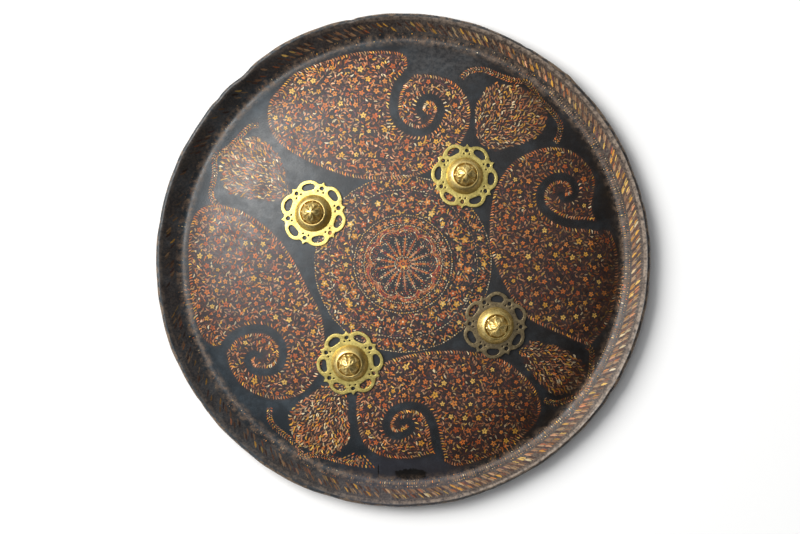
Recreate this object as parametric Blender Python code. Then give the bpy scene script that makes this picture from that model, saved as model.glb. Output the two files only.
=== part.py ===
"""A dhal: a round shield of moulded and lacquered hide with four brass bosses, lying on its back, face up.

The origin is at the middle of the ring that the shield rests on, +Z points out of the shield's face.
"""

import math

import bmesh
import bpy
from mathutils import Matrix, Quaternion, Vector

# Hide shell
OUTER_RADIUS = 0.250
HIDE_THICKNESS = 0.005
TROUGH_RADIUS = 0.224
TROUGH_SOFTNESS = 0.005
SPHERE_RADIUS = 0.690
SHOULDER_DROP = 0.013
SHOULDER_POWER = 9
RIM_SLOPE = 0.84
EDGE_BULGE = 0.0012
REST_CUT = 0.0012
SHELL_SEGMENTS = 64
SECTION_RADII = (0.0, 0.045, 0.09, 0.115, 0.14, 0.17, 0.197, 0.211, 0.218, 0.2225, 0.2265, 0.232)

# Boss places on the shell: distance from the middle, angle, and angle of the first lobe of the plate
BOSS_RADII = (0.1011, 0.1042, 0.1130, 0.1158)
BOSS_ANGLES = (152.4, 53.8, -35.3, -117.3)
LOBE_ANGLES = (41.0, 54.5, 26.0, 6.4)

# Pierced plate
LOBES = 6
PLATE_GAP = 0.00035
PLATE_THICKNESS = 0.0018
LOBE_TIP = 0.0337
LOBE_CENTRE = 0.0204
VALLEY_RADIUS = 0.0298
VALLEY_HALF_ANGLE = 22.0
FINIAL_TIP = 0.0328
OPENING_CENTRE = 0.0262
OPENING_HALF_WIDTH = 0.0066
OPENING_HALF_DEPTH = 0.0042
OPENING_DENT = 0.0014
FINIAL_HOLE_CENTRE = 0.0260
FINIAL_HOLE_RADIUS = 0.0020

# Stepped dome and its shank
DOME_GAP = 0.0003
DOME_RADIUS = 0.0183
DOME_WALL = 0.0016
SKIRT_HEIGHT = 0.0072
KNOB_RADIUS = 0.0112
KNOB_FOOT = 0.0084
GROOVE_DEPTH = 0.0012
DOME_HEIGHT = 0.0172
BUD_PETALS = 4
BUD_CUT = 0.0030
DOME_SEGMENTS = 24
SHANK_RADIUS = 0.0035
SHANK_HOLE_RADIUS = 0.0040
CLENCH_RADIUS = 0.0075
CLENCH_THICKNESS = 0.0018

HIDE_COLOUR = (0.035, 0.028, 0.026, 1.0)
PLATE_COLOUR = (0.66, 0.56, 0.26, 1.0)
DOME_COLOUR = (0.68, 0.50, 0.20, 1.0)


def clear_scene():
    for old in list(bpy.data.objects):
        bpy.data.objects.remove(old, do_unlink=True)


def material(name, colour, roughness, metallic):
    made = bpy.data.materials.new(name)
    made.use_nodes = True
    shader = made.node_tree.nodes["Principled BSDF"]
    shader.inputs["Base Color"].default_value = colour
    shader.inputs["Roughness"].default_value = roughness
    shader.inputs["Metallic"].default_value = metallic
    return made


def add_object(name, bm, look):
    """Turns the bmesh into a smooth-shaded object with one material."""
    bmesh.ops.recalc_face_normals(bm, faces=bm.faces)
    mesh = bpy.data.meshes.new(name)
    bm.to_mesh(mesh)
    bm.free()
    mesh.materials.append(look)
    mesh.shade_smooth()
    mesh.set_sharp_from_angle(angle=math.radians(35))
    made = bpy.data.objects.new(name, mesh)
    bpy.context.scene.collection.objects.link(made)
    return made


def lathe(profile, segments):
    """The closed solid swept by a profile of (radius, height) pairs that starts and ends on the axis."""
    bm = bmesh.new()
    points = [bm.verts.new((radius, 0.0, height)) for radius, height in profile]
    edges = [bm.edges.new(pair) for pair in zip(points, points[1:])]
    bmesh.ops.spin(bm, geom=points + edges, cent=(0, 0, 0), axis=(0, 0, 1),
                   angle=2 * math.pi, steps=segments, use_merge=True)
    bmesh.ops.remove_doubles(bm, verts=bm.verts, dist=1e-5)
    return bm


def drop_of_sphere(radius):
    """How far the domed face falls from its crown at this distance from the middle."""
    sphere = SPHERE_RADIUS - math.sqrt(SPHERE_RADIUS**2 - radius**2)
    return sphere + SHOULDER_DROP * (radius / TROUGH_RADIUS) ** SHOULDER_POWER


def face_height(radius):
    """Height of the face over the bottom of the trough: a soft maximum of the dome and the upturned rim."""
    dome = drop_of_sphere(TROUGH_RADIUS) - drop_of_sphere(radius)
    rim = RIM_SLOPE * (radius - TROUGH_RADIUS)
    return (dome + rim + math.hypot(dome - rim, TROUGH_SOFTNESS)) / 2


def face_normal(radius):
    """Unit normal of the face in the (radius, height) plane, by a central difference."""
    step = 1e-5
    slope = (face_height(radius + step) - face_height(abs(radius - step))) / (2 * step)
    return Vector((-slope, 1.0)).normalized() if radius > 0 else Vector((0.0, 1.0))


def shell_curves():
    """Points of the hide's front and back from the middle to the edge, with the trough's bottom as height 0."""
    front_edge = OUTER_RADIUS - HIDE_THICKNESS * math.sin(math.atan(RIM_SLOPE))
    front = [Vector((radius, face_height(radius))) for radius in SECTION_RADII + (front_edge,)]
    back = [point - HIDE_THICKNESS * face_normal(point.x) for point in front]
    return front, back


def ground_height():
    """Height of the plane that the shield rests on: it takes a little off the underside of the trough."""
    return min(point.y for point in shell_curves()[1]) + REST_CUT


def shell_profile():
    """The hide's section from the crown out to the edge and back underneath, standing on z = 0."""
    front, back = shell_curves()
    edge_bulge = (front[-1] + back[-1]) / 2 + EDGE_BULGE * Vector((1.0, RIM_SLOPE)).normalized()
    ground = ground_height()
    section = front + [edge_bulge] + back[::-1]
    return [(max(point.x, 0.0), max(point.y, ground) - ground) for point in section]


def boss_frame(number):
    """Matrix of the boss's local frame: origin on the face, +Z along the face's normal, +X at the first lobe."""
    angle = math.radians(BOSS_ANGLES[number])
    radius = BOSS_RADII[number]
    outward = face_normal(radius)
    place = Vector((radius * math.cos(angle), radius * math.sin(angle), face_height(radius) - ground_height()))
    normal = Vector((outward.x * math.cos(angle), outward.x * math.sin(angle), outward.y))
    lean = Vector((0, 0, 1)).rotation_difference(normal)
    turn = Quaternion((0, 0, 1), math.radians(LOBE_ANGLES[number]))
    return Matrix.Translation(place) @ (lean @ turn).to_matrix().to_4x4()


def shank_cutter(number):
    """The cylinder that makes the hole for a shank."""
    bm = bmesh.new()
    bmesh.ops.create_cone(bm, cap_ends=True, segments=16, radius1=SHANK_HOLE_RADIUS,
                          radius2=SHANK_HOLE_RADIUS, depth=4 * HIDE_THICKNESS)
    cutter = add_object(f"shank_hole_{number + 1}", bm, material("cutter", HIDE_COLOUR, 1.0, 0.0))
    cutter.matrix_world = boss_frame(number)
    cutter.hide_render = True
    cutter.display_type = "WIRE"
    return cutter


def make_shield_body(look):
    body = add_object("shield_body", lathe(shell_profile(), SHELL_SEGMENTS), look)
    for number in range(len(BOSS_RADII)):
        hole = body.modifiers.new(f"shank_hole_{number + 1}", "BOOLEAN")
        hole.operation = "DIFFERENCE"
        hole.solver = "EXACT"
        hole.object = shank_cutter(number)


def polar(radius, degrees):
    return Vector((radius * math.cos(math.radians(degrees)), radius * math.sin(math.radians(degrees)), 0.0))


def lobe_arc(axis_angle, steps):
    """Points of one round lobe, from valley to valley."""
    centre = polar(LOBE_CENTRE, axis_angle)
    valley = polar(VALLEY_RADIUS, axis_angle - VALLEY_HALF_ANGLE) - centre
    half_sweep = (polar(1.0, axis_angle)).angle(valley)
    points = []
    for step in range(steps + 1):
        sweep = math.degrees(half_sweep) * (2 * step / steps - 1)
        points.append(centre + polar(LOBE_TIP - LOBE_CENTRE, axis_angle + sweep))
    return points


def plate_outline():
    """Six lobes, with a pointed tip in each valley between them."""
    outline = []
    for lobe in range(LOBES):
        angle = lobe * 360 / LOBES
        outline += lobe_arc(angle, 6)
        outline.append(polar(FINIAL_TIP, angle + 180 / LOBES))
    return outline


def lobe_opening(axis_angle, steps=12):
    """The opening in a lobe: an oval with its inner side pushed in towards the rim of the lobe."""
    points = []
    for step in range(steps):
        turn = 2 * math.pi * step / steps
        dent = OPENING_DENT * max(0.0, -math.cos(turn)) ** 3
        outwards = OPENING_CENTRE + OPENING_HALF_DEPTH * math.cos(turn) + dent
        sideways = OPENING_HALF_WIDTH * math.sin(turn)
        points.append(Matrix.Rotation(math.radians(axis_angle), 3, "Z") @ Vector((outwards, sideways, 0.0)))
    return points


def round_hole(centre, radius, steps):
    return [centre + polar(radius, 360 * step / steps) for step in range(steps)]


def plate_holes():
    holes = [round_hole(Vector((0, 0, 0)), SHANK_HOLE_RADIUS, 16)]
    for lobe in range(LOBES):
        angle = lobe * 360 / LOBES
        holes.append(lobe_opening(angle))
        holes.append(round_hole(polar(FINIAL_HOLE_CENTRE, angle + 180 / LOBES), FINIAL_HOLE_RADIUS, 8))
    return holes


def plate_mesh():
    """The pierced plate, cut flat, thickened and bent over the curve of the hide."""
    bm = bmesh.new()
    edges = []
    for loop in [plate_outline()] + plate_holes():
        points = [bm.verts.new(point) for point in loop]
        edges += [bm.edges.new(pair) for pair in zip(points, points[1:] + points[:1])]
    bmesh.ops.triangle_fill(bm, use_beauty=True, use_dissolve=False, edges=edges, normal=(0, 0, 1))
    grown = bmesh.ops.extrude_face_region(bm, geom=bm.faces[:])
    raised = [item for item in grown["geom"] if isinstance(item, bmesh.types.BMVert)]
    bmesh.ops.translate(bm, verts=raised, vec=(0, 0, PLATE_THICKNESS))
    for vert in bm.verts:
        spread = math.hypot(vert.co.x, vert.co.y)
        vert.co.z += PLATE_GAP - (SPHERE_RADIUS - math.sqrt(SPHERE_RADIUS**2 - spread**2))
    return bm


def make_boss_flange(number, look):
    flange = add_object(f"boss_flange_{number + 1}", plate_mesh(), look)
    flange.matrix_world = boss_frame(number)


def dome_profile():
    """Section of the boss from the bud's top down its outside, up the hollow, down the shank to the clench."""
    foot = PLATE_GAP + PLATE_THICKNESS + DOME_GAP
    skirt_run = DOME_RADIUS - KNOB_RADIUS - GROOVE_DEPTH
    skirt = []
    for step in range(4):
        turn = math.radians(90 * step / 3)
        skirt.append((DOME_RADIUS - skirt_run * (1 - math.cos(turn)), foot + SKIRT_HEIGHT * math.sin(turn)))
    knob_rise = DOME_HEIGHT - KNOB_FOOT
    knob = []
    for step in range(4):
        turn = math.radians(90 * step / 4)
        knob.append((KNOB_RADIUS * math.cos(turn), foot + KNOB_FOOT + knob_rise * math.sin(turn)))
    groove = [(KNOB_RADIUS - GROOVE_DEPTH, foot + SKIRT_HEIGHT)]
    outside = skirt + groove + knob + [(0.0, foot + DOME_HEIGHT)]
    hollow = [(SHANK_RADIUS, foot + KNOB_FOOT + 0.3 * knob_rise),
              (KNOB_RADIUS - 2 * DOME_WALL, foot + SKIRT_HEIGHT - DOME_WALL),
              (DOME_RADIUS - 1.6 * DOME_WALL, foot + 0.45 * SKIRT_HEIGHT),
              (DOME_RADIUS - DOME_WALL, foot)]
    clench_top = -HIDE_THICKNESS - PLATE_GAP
    shank = [(SHANK_RADIUS, clench_top),
             (CLENCH_RADIUS, clench_top),
             (CLENCH_RADIUS, clench_top - 0.5 * CLENCH_THICKNESS),
             (CLENCH_RADIUS - 0.5 * CLENCH_THICKNESS, clench_top - CLENCH_THICKNESS),
             (0.0, clench_top - CLENCH_THICKNESS)]
    return outside[::-1] + hollow[::-1] + shank


def cut_petals(bm):
    """Draws the knob's outside in between its petals, deepest half way up the bud."""
    foot = PLATE_GAP + PLATE_THICKNESS + DOME_GAP + KNOB_FOOT
    for vert in bm.verts:
        spread = math.hypot(vert.co.x, vert.co.y)
        rise = (vert.co.z - foot) / (DOME_HEIGHT - KNOB_FOOT)
        if rise < 0.0 or spread < 0.4 * KNOB_RADIUS:
            continue
        furrow = math.cos(BUD_PETALS / 2 * math.atan2(vert.co.y, vert.co.x)) ** 6
        shrink = BUD_CUT * furrow * min(1.0, 0.3 + rise) / spread
        vert.co.x *= 1 - shrink
        vert.co.y *= 1 - shrink


def make_boss_dome(number, look):
    bm = lathe(dome_profile(), DOME_SEGMENTS)
    cut_petals(bm)
    dome = add_object(f"boss_dome_{number + 1}", bm, look)
    dome.matrix_world = boss_frame(number)


clear_scene()
make_shield_body(material("lacquered_hide", HIDE_COLOUR, 0.40, 0.0))
plate_brass = material("plate_brass", PLATE_COLOUR, 0.35, 1.0)
dome_brass = material("dome_brass", DOME_COLOUR, 0.30, 1.0)
for boss in range(len(BOSS_RADII)):
    make_boss_flange(boss, plate_brass)
    make_boss_dome(boss, dome_brass)
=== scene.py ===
import math

import bmesh
import bpy
import numpy as np
from mathutils import Matrix, Quaternion, Vector


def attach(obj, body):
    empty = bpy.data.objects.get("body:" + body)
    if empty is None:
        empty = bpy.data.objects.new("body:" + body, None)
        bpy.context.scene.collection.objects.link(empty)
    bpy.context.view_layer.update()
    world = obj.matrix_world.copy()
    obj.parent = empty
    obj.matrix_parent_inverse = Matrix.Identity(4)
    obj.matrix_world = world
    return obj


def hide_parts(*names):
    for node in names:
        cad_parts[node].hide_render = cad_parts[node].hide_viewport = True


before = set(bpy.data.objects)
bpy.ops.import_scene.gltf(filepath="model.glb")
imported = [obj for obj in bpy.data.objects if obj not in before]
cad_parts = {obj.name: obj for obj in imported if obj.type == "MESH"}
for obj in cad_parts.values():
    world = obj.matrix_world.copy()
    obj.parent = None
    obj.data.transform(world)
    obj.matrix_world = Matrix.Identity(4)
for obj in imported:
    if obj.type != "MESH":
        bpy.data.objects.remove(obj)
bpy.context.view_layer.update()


# ---------------------------------------------------------------------------
# Shield body: one disc of thick hide, soaked and moulded to a shallow dome with an upturned rim,
# then lacquered blue-black and painted on its face; the back is bare dressed hide.
# It stands on the ring under its trough. The face's height is set by the values of the CAD solid.
# ---------------------------------------------------------------------------

OUTER_RADIUS = 0.250
HIDE_THICKNESS = 0.005
TROUGH_RADIUS = 0.224
TROUGH_SOFTNESS = 0.005
DOME_SPHERE_RADIUS = 0.690
SHOULDER_DROP = 0.013
SHOULDER_POWER = 9
RIM_SLOPE = 0.84
EDGE_BULGE = 0.0012
REST_CUT = 0.0012
FACE_CELLS = 136
BACK_CELLS = FACE_CELLS // 2
EDGE_RINGS = 4
MM = 0.001
STROKE_LAYERS = 6


def face_height(radius):
    """Height of the face over the trough: the dome falls as a sphere plus a ninth-power shoulder, the rim
    rises in a straight line, and the face is the soft maximum of the two."""
    def drop(r):
        sphere = DOME_SPHERE_RADIUS - np.sqrt(DOME_SPHERE_RADIUS**2 - r**2)
        return sphere + SHOULDER_DROP * (np.abs(r) / TROUGH_RADIUS) ** SHOULDER_POWER
    dome = drop(TROUGH_RADIUS) - drop(radius)
    rim = RIM_SLOPE * (radius - TROUGH_RADIUS)
    return (dome + rim + np.hypot(dome - rim, TROUGH_SOFTNESS)) / 2


def face_slope(radius):
    """Rise of the face per unit of radius, by a central difference; level at the crown."""
    step = 1e-5
    rise = face_height(radius + step) - face_height(np.abs(radius - step))
    return np.where(radius > step, rise / (2 * step), 0)


def back_point(radius):
    """Radius and height of the underside: the face's point moved one thickness back along its normal."""
    slope = face_slope(radius)
    length = np.hypot(slope, 1.0)
    return radius + HIDE_THICKNESS * slope / length, face_height(radius) - HIDE_THICKNESS / length


front_edge_radius = OUTER_RADIUS - HIDE_THICKNESS * math.sin(math.atan(RIM_SLOPE))
fine_radius = np.linspace(0.0, front_edge_radius, 4001)
fine_height = face_height(fine_radius)
ground = back_point(fine_radius)[1].min() + REST_CUT
walked = np.concatenate([[0.0], np.cumsum(np.hypot(np.diff(fine_radius), np.diff(fine_height)))])


def even_rings(count):
    """Radii of count + 1 rings that are evenly spaced along the curved face from the crown to the edge."""
    return np.interp(np.linspace(0.0, walked[-1], count + 1), walked, fine_radius)


def concentric(count):
    """Ring number and angle of each point of a square grid of (2 count + 1)² points: a point's ring is its
    larger coordinate, and its angle is an eighth of a turn times the smaller coordinate over the larger."""
    row, column = np.meshgrid(np.arange(-count, count + 1), np.arange(-count, count + 1), indexing="ij")
    ring = np.maximum(np.abs(row), np.abs(column))
    safe = np.maximum(ring, 1)
    by_row = np.abs(row) >= np.abs(column)
    eighth = math.pi / 4
    from_row = eighth * column / safe * np.sign(row) + np.where(row < 0, math.pi, 0.0)
    from_column = math.pi / 2 - eighth * row / safe * np.sign(column) + np.where(column < 0, math.pi, 0.0)
    angle = np.where(by_row, from_row, from_column)
    return ring.ravel(), angle.ravel()


def grid_quads(count):
    """Corners of the cells of that square grid, anticlockwise from above."""
    side = 2 * count + 1
    first = (np.arange(2 * count)[:, None] * side + np.arange(2 * count)[None, :]).ravel()
    return np.stack([first, first + side, first + side + 1, first + 1], 1)


def grid_border(count):
    """Point numbers round the outermost ring of that grid, in order of angle."""
    ring, angle = concentric(count)
    border = np.flatnonzero(ring == count)
    return border[np.argsort(np.mod(angle[border], 2 * math.pi))]


def wander(angle, turns, sizes, phases):
    """Sum of sines round the circle: one for each whole number of turns, with its size and phase."""
    return sum(size * np.sin(turn * angle + phase) for turn, size, phase in zip(turns, sizes, phases))


def nick(angle, at, half_width, depth):
    """One smooth notch in the edge at an angle in degrees: a bell curve of that half width and depth."""
    away = np.mod(np.degrees(angle) - at + 180.0, 360.0) - 180.0
    return -depth * np.exp(-((away / half_width) ** 2))


# angle in degrees, half width in degrees and depth in millimetres of each nick; below zero it stands out
NICKS = ((131, 3.2, 2.6), (139, 1.2, 0.8), (60, 1.0, 0.9), (102, 0.8, 0.9), (327, 1.6, 1.0), (290, 0.9, 0.7),
         (215, 1.1, 0.6), (14, 0.9, 0.8), (48, -1.2, -0.9))
EDGE_WAVE_MEAN = 0.6
RIM_WAVE_START = 0.232


def edge_wave(angle):
    """How far the hand-cut edge stands out or in at each angle, in metres."""
    wave = wander(angle, (2, 3, 5, 9, 17, 31, 53), (0.5, 0.5, 0.35, 0.25, 0.2, 0.16, 0.1),
                  (0.4, 2.1, 4.0, 1.3, 5.2, 0.2, 3.3))
    for at, half_width, depth in NICKS:
        wave = wave + nick(angle, at, half_width, depth)
    return (wave - EDGE_WAVE_MEAN) * MM


def rim_share(radius):
    """0 on the dome and 1 at the edge of the hide, by a smooth step over the outer part of the rim."""
    t = np.clip((radius - RIM_WAVE_START) / (front_edge_radius - RIM_WAVE_START), 0.0, 1.0)
    return t * t * (3 - 2 * t)


BOSS_RADII = (0.1011, 0.1042, 0.1130, 0.1158)
BOSS_ANGLES = (152.4, 53.8, -35.3, -117.3)
CALM_RADIUS = 0.048
SINK_DEPTH = 0.00045


def sink(x, y):
    """Depth of the slow waves in the moulded hide: sines across the disc, never above the face, and none
    under the bosses, where the plates lie close."""
    wave = 0.5 + 0.28 * np.sin(31 * x + 17 * y + 0.6) + 0.22 * np.sin(53 * y - 22 * x + 2.0)
    clear = np.ones_like(x)
    for radius, angle in zip(BOSS_RADII, np.radians(BOSS_ANGLES)):
        away = np.hypot(x - radius * math.cos(angle), y - radius * math.sin(angle))
        clear = clear * (1 - np.exp(-((away / CALM_RADIUS) ** 4)))
    return SINK_DEPTH * wave * clear


def shell_points(radius, height, angle):
    """Places section points round the disc, with the wandering edge and the slow waves added."""
    spread = radius + edge_wave(angle) * rim_share(radius)
    x, y = spread * np.cos(angle), spread * np.sin(angle)
    return np.stack([x, y, np.maximum(height - ground - sink(x, y), 0.0)], 1)


def new_mesh(name, points, quads, triangles=None):
    """A mesh from arrays of points and corners, smooth-shaded."""
    mesh = bpy.data.meshes.new(name)
    triangles = np.zeros((0, 3), int) if triangles is None else triangles
    corners = np.concatenate([quads.ravel(), triangles.ravel()]).astype(np.int32)
    sizes = np.concatenate([np.full(len(quads), 4), np.full(len(triangles), 3)])
    starts = np.concatenate([[0], np.cumsum(sizes)[:-1]]).astype(np.int32)
    mesh.vertices.add(len(points))
    mesh.vertices.foreach_set("co", points.astype(np.float32).ravel())
    mesh.loops.add(len(corners))
    mesh.loops.foreach_set("vertex_index", corners)
    mesh.polygons.add(len(sizes))
    mesh.polygons.foreach_set("loop_start", starts)
    mesh.update(calc_edges=True)
    mesh.validate()
    mesh.shade_smooth()
    return mesh


# The face's grid, the rounded edge, and the back's coarser grid, joined ring to ring.
front_rings = even_rings(FACE_CELLS)
front_ring, front_angle = concentric(FACE_CELLS)
front_radius = front_rings[front_ring]
front_points = shell_points(front_radius, face_height(front_radius), front_angle)
border = grid_border(FACE_CELLS)
border_angle = front_angle[border]
edge_turn = np.pi * np.arange(1, EDGE_RINGS + 1) / (EDGE_RINGS + 1)
rim_along = np.array([1.0, RIM_SLOPE]) / math.hypot(1.0, RIM_SLOPE)
rim_normal = np.array([-rim_along[1], rim_along[0]])
edge_middle = np.array([front_edge_radius, face_height(front_edge_radius)]) - rim_normal * HIDE_THICKNESS / 2
edge_section = (edge_middle + np.outer(np.cos(edge_turn), rim_normal) * HIDE_THICKNESS / 2
                + np.outer(np.sin(edge_turn), rim_along) * EDGE_BULGE)
edge_points = np.concatenate([shell_points(np.full(len(border), r), np.full(len(border), h), border_angle)
                              for r, h in edge_section])
back_rings = even_rings(BACK_CELLS)
back_ring, back_angle = concentric(BACK_CELLS)
back_radius, back_height = back_point(back_rings[back_ring])
back_points = shell_points(back_radius, back_height, back_angle)
back_border = grid_border(BACK_CELLS)

points = np.concatenate([front_points, edge_points, back_points])
edge_numbers = len(front_points) + np.arange(len(edge_points)).reshape(EDGE_RINGS, len(border))
loops = [border, *edge_numbers]
edge_quads = np.concatenate([np.stack([a, b, np.roll(b, -1), np.roll(a, -1)], 1)
                             for a, b in zip(loops, loops[1:])])
back_start = len(front_points) + len(edge_points)
back_quads = grid_quads(BACK_CELLS)[:, ::-1] + back_start
outer, inner = loops[-1], back_border + back_start
even, odd, after = outer[0::2], outer[1::2], np.roll(outer, -2)[0::2]
following = np.roll(inner, -1)
joints = np.concatenate([np.stack([even, inner, odd], 1), np.stack([odd, inner, following], 1),
                         np.stack([odd, following, after], 1)])
face_quads = grid_quads(FACE_CELLS)
quads = np.concatenate([face_quads, edge_quads, back_quads])
shell_mesh = new_mesh("shield_body_painted", points, quads, joints)

# Map of the surface for its finish: the face and edge on a large disc, the back on a small one.
FACE_MAP_CENTRE, FACE_MAP_RADIUS = 0.45, 0.44
BACK_MAP_CENTRE, BACK_MAP_RADIUS, BACK_MAP_EDGE = 0.87, 0.115, 0.122
EDGE_MAP_STEP = 0.0022
section_walk = np.concatenate([walked[-1] * np.linspace(0, 1, FACE_CELLS + 1),
                               walked[-1] + (np.arange(EDGE_RINGS) + 1) * EDGE_MAP_STEP])
walk = np.concatenate([section_walk[front_ring], np.repeat(section_walk[FACE_CELLS + 1:], len(border)),
                       np.zeros(len(back_points))])
turn = np.concatenate([front_angle, np.tile(border_angle, EDGE_RINGS), back_angle])
round_disc = np.stack([np.cos(turn), np.sin(turn)], 1)
map_points = FACE_MAP_CENTRE + (FACE_MAP_RADIUS * walk / section_walk[-1])[:, None] * round_disc
back_reach = np.concatenate([np.zeros(back_start), back_ring / BACK_CELLS])
back_map = BACK_MAP_CENTRE + BACK_MAP_RADIUS * back_reach[:, None] * round_disc
corner_points = np.concatenate([quads.ravel(), joints.ravel()])
on_back = np.repeat([False, True], [face_quads.size + edge_quads.size, back_quads.size + joints.size])
outermost = slice(back_start - len(border), back_start)
back_map[outermost] = BACK_MAP_CENTRE + BACK_MAP_EDGE * round_disc[outermost]
corner_map = np.where(on_back[:, None], back_map[corner_points], map_points[corner_points])
shell_mesh.uv_layers.new(name="OFBake").data.foreach_set("uv", corner_map.astype(np.float32).ravel())

# --- The painting, in millimetres from the middle of the disc. Every brush stroke is one row:
# middle x and y, direction, half length, half width, bend, red, green, blue, and its layer from the top.
rng = np.random.default_rng(17)
strokes = []


def linear(*colours):
    """Display colours of 0 to 255 as linear light."""
    c = np.array(colours, float).reshape(-1, 3) / 255
    return np.where(c <= 0.04045, c / 12.92, ((c + 0.055) / 1.055) ** 2.4)


PAINTS = {
    "gold": linear((226, 168, 62), (214, 150, 50), (235, 190, 96)),
    "orange": linear((208, 116, 48), (190, 96, 42), (218, 138, 62)),
    "salmon": linear((202, 136, 92), (186, 116, 76), (212, 154, 112)),
    "tan": linear((176, 136, 98), (150, 108, 74), (188, 150, 106)),
    "cream": linear((226, 204, 158), (214, 186, 138), (236, 218, 180)),
    "red": linear((158, 52, 38), (140, 40, 32), (176, 72, 50)),
    "brown": linear((112, 68, 46), (92, 54, 38), (128, 82, 54)),
    "plum": linear((96, 58, 62), (80, 46, 54), (112, 70, 70)),
}
FLOWER_PETALS = 5


def lay(base, x, y, direction, half_length, half_width, bend=0.0, layer=3.0, shade=0.16, jumble=0.3):
    """Adds a stroke for each base colour, lighter or darker by the exponential of shade times a normal draw,
    and up to jumble deeper than its layer."""
    count = len(base)
    colour = base * np.exp(shade * rng.standard_normal((count, 1)))
    columns = [np.broadcast_to(np.asarray(column, float), (count,))
               for column in (x, y, direction, half_length, half_width, bend)]
    strokes.append(np.column_stack([*columns, colour, layer + jumble * rng.random(count)]))


def mixed(shares, count):
    """Colours for count strokes, drawn from several paints by their shares."""
    paints = list(shares)
    pick = rng.choice(len(paints), count, p=np.array([shares[k] for k in paints]) / sum(shares.values()))
    table = np.stack([PAINTS[k] for k in paints])
    return table[pick, rng.integers(0, 3, count)]


def dabs_of(shares, x, y, *form, **manner):
    """Adds strokes whose paints are drawn by share."""
    lay(mixed(shares, len(x)), x, y, *form, **manner)


def flowers(x, y, size, shares, heart="cream", layer=1.0):
    """Small flowers: petals set evenly round a heart, the whole turned at random."""
    count = len(x)
    turn = rng.random(count) * 2 * np.pi
    size = size * (1 + 0.12 * rng.standard_normal(count))
    base = mixed(shares, count)
    for petal in range(FLOWER_PETALS):
        a = turn + petal * 2 * np.pi / FLOWER_PETALS
        lay(base, x + 0.56 * size * np.cos(a), y + 0.56 * size * np.sin(a), a, 0.48 * size, 0.34 * size,
            layer=layer, shade=0.12, jumble=0.1)
    lay(PAINTS[heart][rng.integers(0, 3, count)], x, y, turn, 0.24 * size, 0.24 * size, layer=layer - 0.5)


def smooth_curve(knots, steps=8, closed=True):
    """A Catmull-Rom curve through the knots: each span is the cubic that leaves and meets its knots along
    the line between their neighbours."""
    p = np.asarray(knots, float)
    if closed:
        before, start, end, after = np.roll(p, 1, 0), p, np.roll(p, -1, 0), np.roll(p, -2, 0)
    else:
        padded = np.concatenate([[2 * p[0] - p[1]], p, [2 * p[-1] - p[-2]]])
        before, start, end, after = padded[:-3], padded[1:-2], padded[2:-1], padded[3:]
    t = (np.arange(steps) / steps)[None, :, None]
    before, start, end, after = (q[:, None, :] for q in (before, start, end, after))
    curve = 0.5 * (2 * start + (end - before) * t + (2 * before - 5 * start + 4 * end - after) * t**2
                   + (3 * start - before - 3 * end + after) * t**3)
    curve = curve.reshape(-1, 2)
    return curve if closed else np.concatenate([curve, p[-1:]])


def inside(x, y, loop):
    """Whether each point is inside the closed loop, by counting the sides that a ray to the right crosses."""
    x, y = np.asarray(x)[..., None], np.asarray(y)[..., None]
    ax, ay = loop[:, 0], loop[:, 1]
    bx, by = np.roll(ax, -1), np.roll(ay, -1)
    spans = (ay > y) != (by > y)
    rise = np.where(by == ay, 1e-9, by - ay)
    return (spans & (x < (bx - ax) * (y - ay) / rise + ax)).sum(-1) % 2 == 1


def distance(x, y, line, closed=False):
    """Distance from each point to the nearest side of a line, and how far along the line that is, 0 to 1."""
    a = line if closed else line[:-1]
    b = np.roll(line, -1, 0) if closed else line[1:]
    p = np.stack([x, y], -1)[..., None, :]
    side = b - a
    t = np.clip(((p - a) * side).sum(-1) / np.maximum((side**2).sum(-1), 1e-9), 0, 1)
    away = np.linalg.norm(p - (a + t[..., None] * side), axis=-1)
    nearest = away.argmin(-1)
    share = (nearest + np.take_along_axis(t, nearest[..., None], -1)[..., 0]) / len(a)
    return away.min(-1), share


def depth_inside(x, y, loop):
    """Distance to the closed loop, above zero inside it and below zero outside."""
    return distance(x, y, loop, closed=True)[0] * np.where(inside(x, y, loop), 1, -1)


def walk_along(line, spacing, closed=False):
    """Evenly spaced points along a line, and the direction of the line at each."""
    whole = np.concatenate([line, line[:1]]) if closed else line
    steps = np.linalg.norm(np.diff(whole, axis=0), axis=1)
    length = np.concatenate([[0], np.cumsum(steps)])
    at = np.arange(spacing / 2, length[-1], spacing)
    x, y = np.interp(at, length, whole[:, 0]), np.interp(at, length, whole[:, 1])
    ahead_x, ahead_y = np.interp(at + 0.5, length, whole[:, 0]), np.interp(at + 0.5, length, whole[:, 1])
    return x, y, np.arctan2(ahead_y - y, ahead_x - x)


def lattice(spacing, reach, wobble):
    """Points of a staggered lattice over a square of half side reach, each moved a little at random."""
    rows = np.arange(-reach, reach, spacing * 0.87)
    columns = np.arange(-reach, reach, spacing)
    y, x = np.meshgrid(rows, columns, indexing="ij")
    x = x + (np.arange(len(rows)) % 2)[:, None] * spacing / 2
    shift = wobble * spacing * (rng.random((2, *x.shape)) - 0.5)
    return (x + shift[0]).ravel(), (y + shift[1]).ravel()


def drift(x, y):
    """A slowly changing direction over the disc, so that neighbouring leaves lie in one sway."""
    return (1.9 * np.sin(0.071 * x + 0.043 * y) + 1.7 * np.sin(0.089 * y - 0.037 * x + 1.1)
            + 1.3 * np.sin(0.19 * x + 0.4) * np.sin(0.17 * y + 2.0))


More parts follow.
